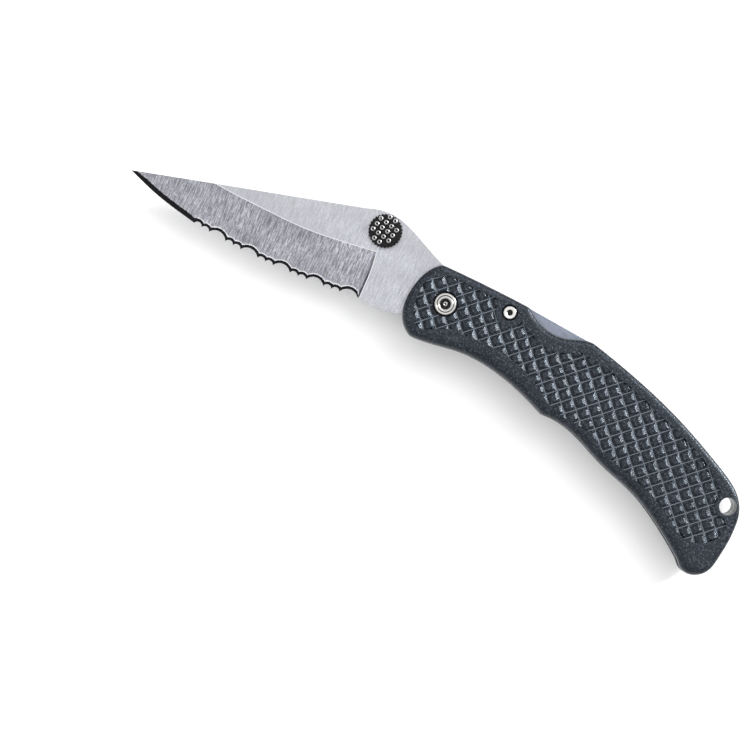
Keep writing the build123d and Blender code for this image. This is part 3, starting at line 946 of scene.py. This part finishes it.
def blade_drawing(outline, cutting, holes):
    """The blade in plan: coarse triangles over the flats, fine ones along the edge and the grind's lines."""
    drawing = Drawing([outline, *holes])
    grind, plunge = eased(GRIND_LINE, 0.6)[1:], eased(PLUNGE_LINE, 0.4)[1:-1]
    lines = [grind, plunge, plunge - [PLUNGE_WIDTH / 2, 0], plunge - [PLUNGE_WIDTH, 0]]
    lines += [grind + [0, GRIND_RIM], plunge + [GRIND_RIM, 0]]
    for line in lines:
        drawing.loop(line[inside(line, outline)], closed=False)
    field = grid_points(outline, BLADE_GRID, [outline, *holes], 0.5)
    field = off_line(field, cutting, EDGE_BAND, closed=False)
    fine = grid_points(outline, EDGE_GRID, [outline], 0.1)
    gap, _ = nearest(fine, cutting, closed=False)
    dots = np.vstack([field, fine[gap < EDGE_BAND]])
    for line in lines:
        dots = off_line(dots, line, 0.12, closed=False)
    drawing.dots(dots)
    return drawing.triangles(outline, holes)


def blade_slots(middles, edge_line, cutting):
    """Each face's material slot by its middle: 0 flat, 1 ground, 2 bevel in painted dark, 3 rim in painted
    highlight.
    """
    _, past = half_thickness(middles, edge_line)
    from_edge, _ = nearest(middles, cutting, closed=False)
    grind_x, grind_y = eased(GRIND_LINE, 0.5).T
    above = middles[:, 1] - np.interp(middles[:, 0], grind_x, grind_y)
    on_point = middles[:, 0] < GRIND_LINE[0][0]
    in_grind = (past < 0) & (on_point | (above < 0))
    in_rim = (past < GRIND_RIM) & (above < GRIND_RIM) & ~on_point & ~in_grind
    in_bevel = (middles[:, 0] < EDGE_END_X) & (from_edge < bevel_width(middles) * 0.98)
    # The strip just above the bevel gets the painted highlight too.
    edge_highlight = (from_edge < bevel_width(middles) + EDGE_HIGHLIGHT_WIDTH) & (middles[:, 0] > SERRATED_FROM[0])
    return np.select([in_bevel, in_rim | (in_grind & edge_highlight), in_grind], [2, 3, 1], 0)


def blade():
    """The blade as one closed mesh: both ground faces, bevels, spine and tang, with its two holes."""
    outline, belly_count, teeth_count = blade_outline()
    cutting = outline[: belly_count + teeth_count]
    edge_line = np.vstack([outline[:belly_count], TOOTH_BASE])
    holes = [circle((0, 0), PIVOT_HOLE, 64), circle(DISC, DISC_HOLE, 32)]
    plan, faces, middles = blade_drawing(outline, cutting, holes)
    height, _ = half_thickness(plan, edge_line)
    from_edge, _ = nearest(plan, cutting, closed=False)
    sharp = np.clip(from_edge / bevel_width(plan), 0, 1)
    height = np.where(plan[:, 0] < EDGE_END_X, HALF_EDGE + (height - HALF_EDGE) * sharp, height)
    slots = blade_slots(middles, edge_line, cutting)
    shell = Shell()
    for side in (1, -1):
        for slot in range(4):
            shell.patch(plan, BLADE_MID_Z + side * height, faces[slots == slot], slot)
    for a, b in single_edges(faces):
        ends = plan[[a, b]]
        shell.wall(ends, BLADE_MID_Z + height[[a, b]], ends, BLADE_MID_Z - height[[a, b]], closed=False)
    steels = [FLAT_STEEL, GROUND_STEEL, BEVEL_DARK_STEEL, RIM_HIGHLIGHT_STEEL]
    mesh_object("blade_ground", shell, "blade", "blade", steels, 20)


# ---------------------------------------------------------------- hardware
def turned_piece(name, centre, profile, node, material, recessed=()):
    """A lathe-turned piece on the handle; its recessed stretches get painted shade."""
    shell = Shell()
    shell.lathe(centre, profile, 96, recessed)
    return mesh_object(name, shell, "handle", node, [material, RECESS_SHADE], 28)


SLOT_DEPTH = 0.45
SLOT_HALF_WIDTH = 0.27


def slot_tool(centre, head_radius, low, high, turn):
    """The box that a screwdriver slot takes out of a head."""
    half = np.array([head_radius + 0.4, SLOT_HALF_WIDTH])
    corners = np.array([(-1, -1), (1, -1), (1, 1), (-1, 1)]) * half
    plan = centre + corners @ axes(math.radians(turn))
    points = [(x, y, z) for z in (low, high) for x, y in plan]
    faces = [(0, 1, 2, 3), (4, 5, 6, 7)] + [(i, (i + 1) % 4, 4 + (i + 1) % 4, 4 + i) for i in range(4)]
    return boolean_tool("slot_tool", points, faces)


SLEEVE_FACE = [
    (0, 0.5), (0.2, 0.46), (0.26, 0.2), (0.36, 0.13), (0.48, 0.16), (0.58, 0.3), (0.62, 0.9), (1.22, 0.9),
    (1.26, 0.4), (1.44, 0.14), (1.6, 0.02), (1.88, 0), (1.97, 0.06), (2.02, 0.2), (2.13, 0.2), (2.18, 0.06),
    (2.26, 0), (2.52, 0), (2.68, 0.1), (2.75, 0.26), (2.75, 1.1), (2.0, 1.12),
]
PIN_FACE = [
    (0, 0.5), (0.55, 0.55), (0.66, 0.2), (0.8, 0.06), (0.98, 0), (1.4, 0), (1.54, 0.08), (1.6, 0.2),
    (1.6, 0.72), (1.2, 0.74),
]


def flanged_sleeve(node, centre, face, bore, bore_end, material, recessed):
    """A flanged sleeve from its face, as (radius, depth) pairs, down to its foot and up its blind bore."""
    low, high = box_mm(node)
    profile = [(radius, high.z - depth) for radius, depth in face]
    end_z = BLADE_MID_Z + bore_end
    profile += [(face[-1][0], low.z), (bore, low.z), (bore, end_z), (0, end_z)]
    turned_piece(node + "_turned", centre, profile, node, material, recessed)


def screw(node, centre, head_radius, shank_radius, head_thickness, material, turn):
    """A slotted screw seen from the plain side: domed head, shank up into its sleeve."""
    low, high = box_mm(node)
    z = low.z
    profile = [
        (0, z), (head_radius * 0.55, z + 0.01), (head_radius * 0.85, z + 0.08), (head_radius, z + 0.26),
        (head_radius, z + head_thickness), (shank_radius, z + head_thickness), (shank_radius, high.z - 0.2),
        (shank_radius - 0.2, high.z), (0, high.z),
    ]
    piece = turned_piece(node + "_turned", centre, profile, node, material)
    combine(piece, slot_tool(centre, head_radius, z - 0.5, z + SLOT_DEPTH, turn), "DIFFERENCE")


def head_washer():
    """Steel washer in the boss with eased edges."""
    low, high = box_mm("pivot_head_washer")
    outer, inner = 3.35, 1.95
    rim = [(inner + 0.1, low.z), (outer - 0.15, low.z), (outer, low.z + 0.15), (outer, high.z)]
    profile = [(inner, low.z + 0.1), *rim, (inner, high.z), (inner, low.z + 0.1)]
    turned_piece("pivot_head_washer_turned", (0, 0), profile, "pivot_head_washer", PIVOT_STEEL)


DISC_RADIUS = 4.3
BUMP_PITCH = 1.63
BUMP_AXES = axes(math.radians(-4))
BUMP_SHIFT = np.array([-0.38, -0.61])
BUMP_REACH = DISC_RADIUS - 0.64
BUMP = [
    (0, -0.3), (0.2, -0.28), (0.29, -0.05), (0.36, 0), (0.48, -0.03), (0.62, -0.2), (0.66, -0.4), (0, -0.4),
]
BUMP_HEIGHT = 0.34
NOTCHES = 30
NOTCH_DEPTH = 0.22


def thumb_disc(node, up):
    """Opening disc: waisted foot, notched rim, and a grid of ring-shaped bumps on its face."""
    low, high = box_mm(node)
    foot, face = (low.z, high.z) if up > 0 else (high.z, low.z)
    count = NOTCHES * 4
    turn = np.linspace(0, 2 * math.pi, count, endpoint=False)
    notch = np.where(np.arange(count) % 4 < 2, 0.0, NOTCH_DEPTH)
    shell = Shell()

    def rim(radius, height, notched=0):
        reach = radius - notch * notched
        return DISC + np.column_stack([reach * np.cos(turn), reach * np.sin(turn)]), [height] * count

    top = face - up * BUMP_HEIGHT
    stages = [
        rim(1e-3, foot), rim(DISC_RADIUS - 0.9, foot), rim(DISC_RADIUS - 0.9, foot + up * 0.8),
        rim(DISC_RADIUS - 0.1, foot + up * 0.95, 1), rim(DISC_RADIUS, foot + up * 1.1, 1),
        rim(DISC_RADIUS, top - up * 0.2, 1), rim(DISC_RADIUS - 0.15, top - up * 0.03, 1),
        rim(DISC_RADIUS - 0.5, top), rim(1e-3, top),
    ]
    for (plan_a, z_a), (plan_b, z_b) in zip(stages, stages[1:]):
        shell.wall(plan_a, z_a, plan_b, z_b)
    across, along = BUMP_AXES
    bump = [(radius, face + up * height) for radius, height in BUMP]
    for i, j in itertools.product(np.arange(-3.5, 4), repeat=2):
        centre = BUMP_SHIFT + BUMP_PITCH * (i * across + j * along)
        if np.hypot(*centre) < BUMP_REACH:
            shell.lathe(DISC + centre, bump, 24, (2, 3, 4))
    mesh_object(node + "_knurled", shell, "blade", node, [OXIDE, RUBBED], 40)


def paint_mesh(mesh, material):
    """Gives a mesh one material in place of those it has."""
    mesh.materials.clear()
    mesh.materials.append(material)


def eased_copy(node, body, material, width):
    """A CAD piece with its edges broken by a small two-step bevel; without a body it rides nothing yet."""
    mesh = nodes[node].data.copy()
    paint_mesh(mesh, material)
    work = bmesh.new()
    work.from_mesh(mesh)
    bmesh.ops.remove_doubles(work, verts=work.verts, dist=1e-7)
    bmesh.ops.dissolve_limit(work, angle_limit=math.radians(0.6), verts=work.verts, edges=work.edges)
    work.to_mesh(mesh)
    work.free()
    piece = linked(node + "_eased", mesh)
    bevel = piece.modifiers.new("edges", "BEVEL")
    bevel.width = width * MM
    bevel.segments = 2
    bevel.limit_method = "ANGLE"
    bevel.angle_limit = math.radians(40)
    apply_modifiers(piece, 15)
    if body:
        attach(piece, body)
    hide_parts(node)
    return piece


front_scale()
rear_scale()
blade()
flanged_sleeve("pivot_sleeve", (0, 0), SLEEVE_FACE, 1.33, 2.5, PIVOT_STEEL, (0, 1, 5, 6, 7, 13))
flanged_sleeve("lock_pin", LOCK_PIN, PIN_FACE, 0.73, 3, PIN_STEEL, (0, 1))
screw("pivot_screw", (0, 0), 1.9, 1.3, 0.9, PIVOT_BRASS, 20)
screw("lock_screw", LOCK_PIN, 1.85, 0.7, 0.7, PIN_BRASS, 35)
head_washer()
thumb_disc("thumb_disc_front", 1)
thumb_disc("thumb_disc_rear", -1)
eased_copy("lock_bar", "lock_bar", LOCK_STEEL, 0.2)
eased_copy("back_spacer", "handle", NYLON, 0.12)
spring = eased_copy("lock_spring", None, SPRING_STEEL, 0.08)
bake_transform(spring)
for washer in ("blade_washer_front", "blade_washer_rear"):
    paint_mesh(nodes[washer].data, BRONZE)
for pin in ("spacer_dowels", "thumb_disc_screw"):
    paint_mesh(nodes[pin].data, PIVOT_STEEL)


# ---------------------------------------------------------------- floor, light and camera
# The picture is turned against the knife; its width is in metres where the pivot is, and its
# middle is left of and below the pivot.
FRAME_WIDTH = 0.1887
LENS = 120.0
SENSOR = 36.0
RIGHT, UP = (Vector((*axis, 0)) for axis in axes(math.radians(33.6)))
BACK = Vector((0, 0, 1))
PIVOT_RIGHT, PIVOT_ABOVE = 0.01756, 0.01774


def floor():
    """A plain pale floor with a faint mottle."""
    paint = Paint("pale_floor", (0.9, 0.9, 0.9), roughness=0.9)
    mottle = paint.noise(paint.place((0.02, 0.02, 0.02)), 1.0, 2.0)
    paint.colour(paint.tint(mottle, (0.93, 0.93, 0.93), (0.95, 0.95, 0.95)))
    bpy.ops.mesh.primitive_plane_add(size=6)
    plane = bpy.context.object
    plane.name = "floor"
    plane.data.materials.append(paint.material)


def area_light(name, right, up, height, size, power):
    """A soft box aimed at the knife; right and up are in the picture's directions, in metres."""
    data = bpy.data.lights.new(name, "AREA")
    data.shape = "RECTANGLE"
    data.size, data.size_y = size
    data.energy = power
    light = linked(name, data)
    light.location = RIGHT * right + UP * up + Vector((0, 0, height))
    light.rotation_mode = "QUATERNION"
    light.rotation_quaternion = (Vector() - light.location).to_track_quat("-Z", "Y")


def surroundings():
    """An even pale studio around the knife."""
    world = bpy.data.worlds.new("studio")
    bpy.context.scene.world = world
    world.use_nodes = True
    backdrop = world.node_tree.nodes["Background"]
    backdrop.inputs["Color"].default_value = (1, 1, 1, 1)
    backdrop.inputs["Strength"].default_value = 0.82


def camera():
    """Long lens looking straight down, framed with the pivot right of and above the middle."""
    target = Vector((PIVOT.x, PIVOT.y, BLADE_MID_Z * MM)) - RIGHT * PIVOT_RIGHT - UP * PIVOT_ABOVE
    data = bpy.data.cameras.new("camera")
    data.lens = LENS
    data.sensor_width = SENSOR
    data.clip_start, data.clip_end = 0.01, 20
    view = linked("camera", data)
    place = Matrix((RIGHT, UP, BACK)).transposed().to_4x4()
    place.translation = target + BACK * (LENS / SENSOR * FRAME_WIDTH)
    view.matrix_world = place
    bpy.context.scene.camera = view


floor()
surroundings()
area_light("key_light", 0.46, 0.47, 0.88, (0.6, 0.6), 3.0)
area_light("overhead", 0.0, 0.0, 1.5, (2.6, 2.6), 12.5)
area_light("kicker", 0.86, 0.3, 0.45, (0.2, 0.2), 12.0)
camera()
bpy.context.scene.view_settings.view_transform = "Standard"
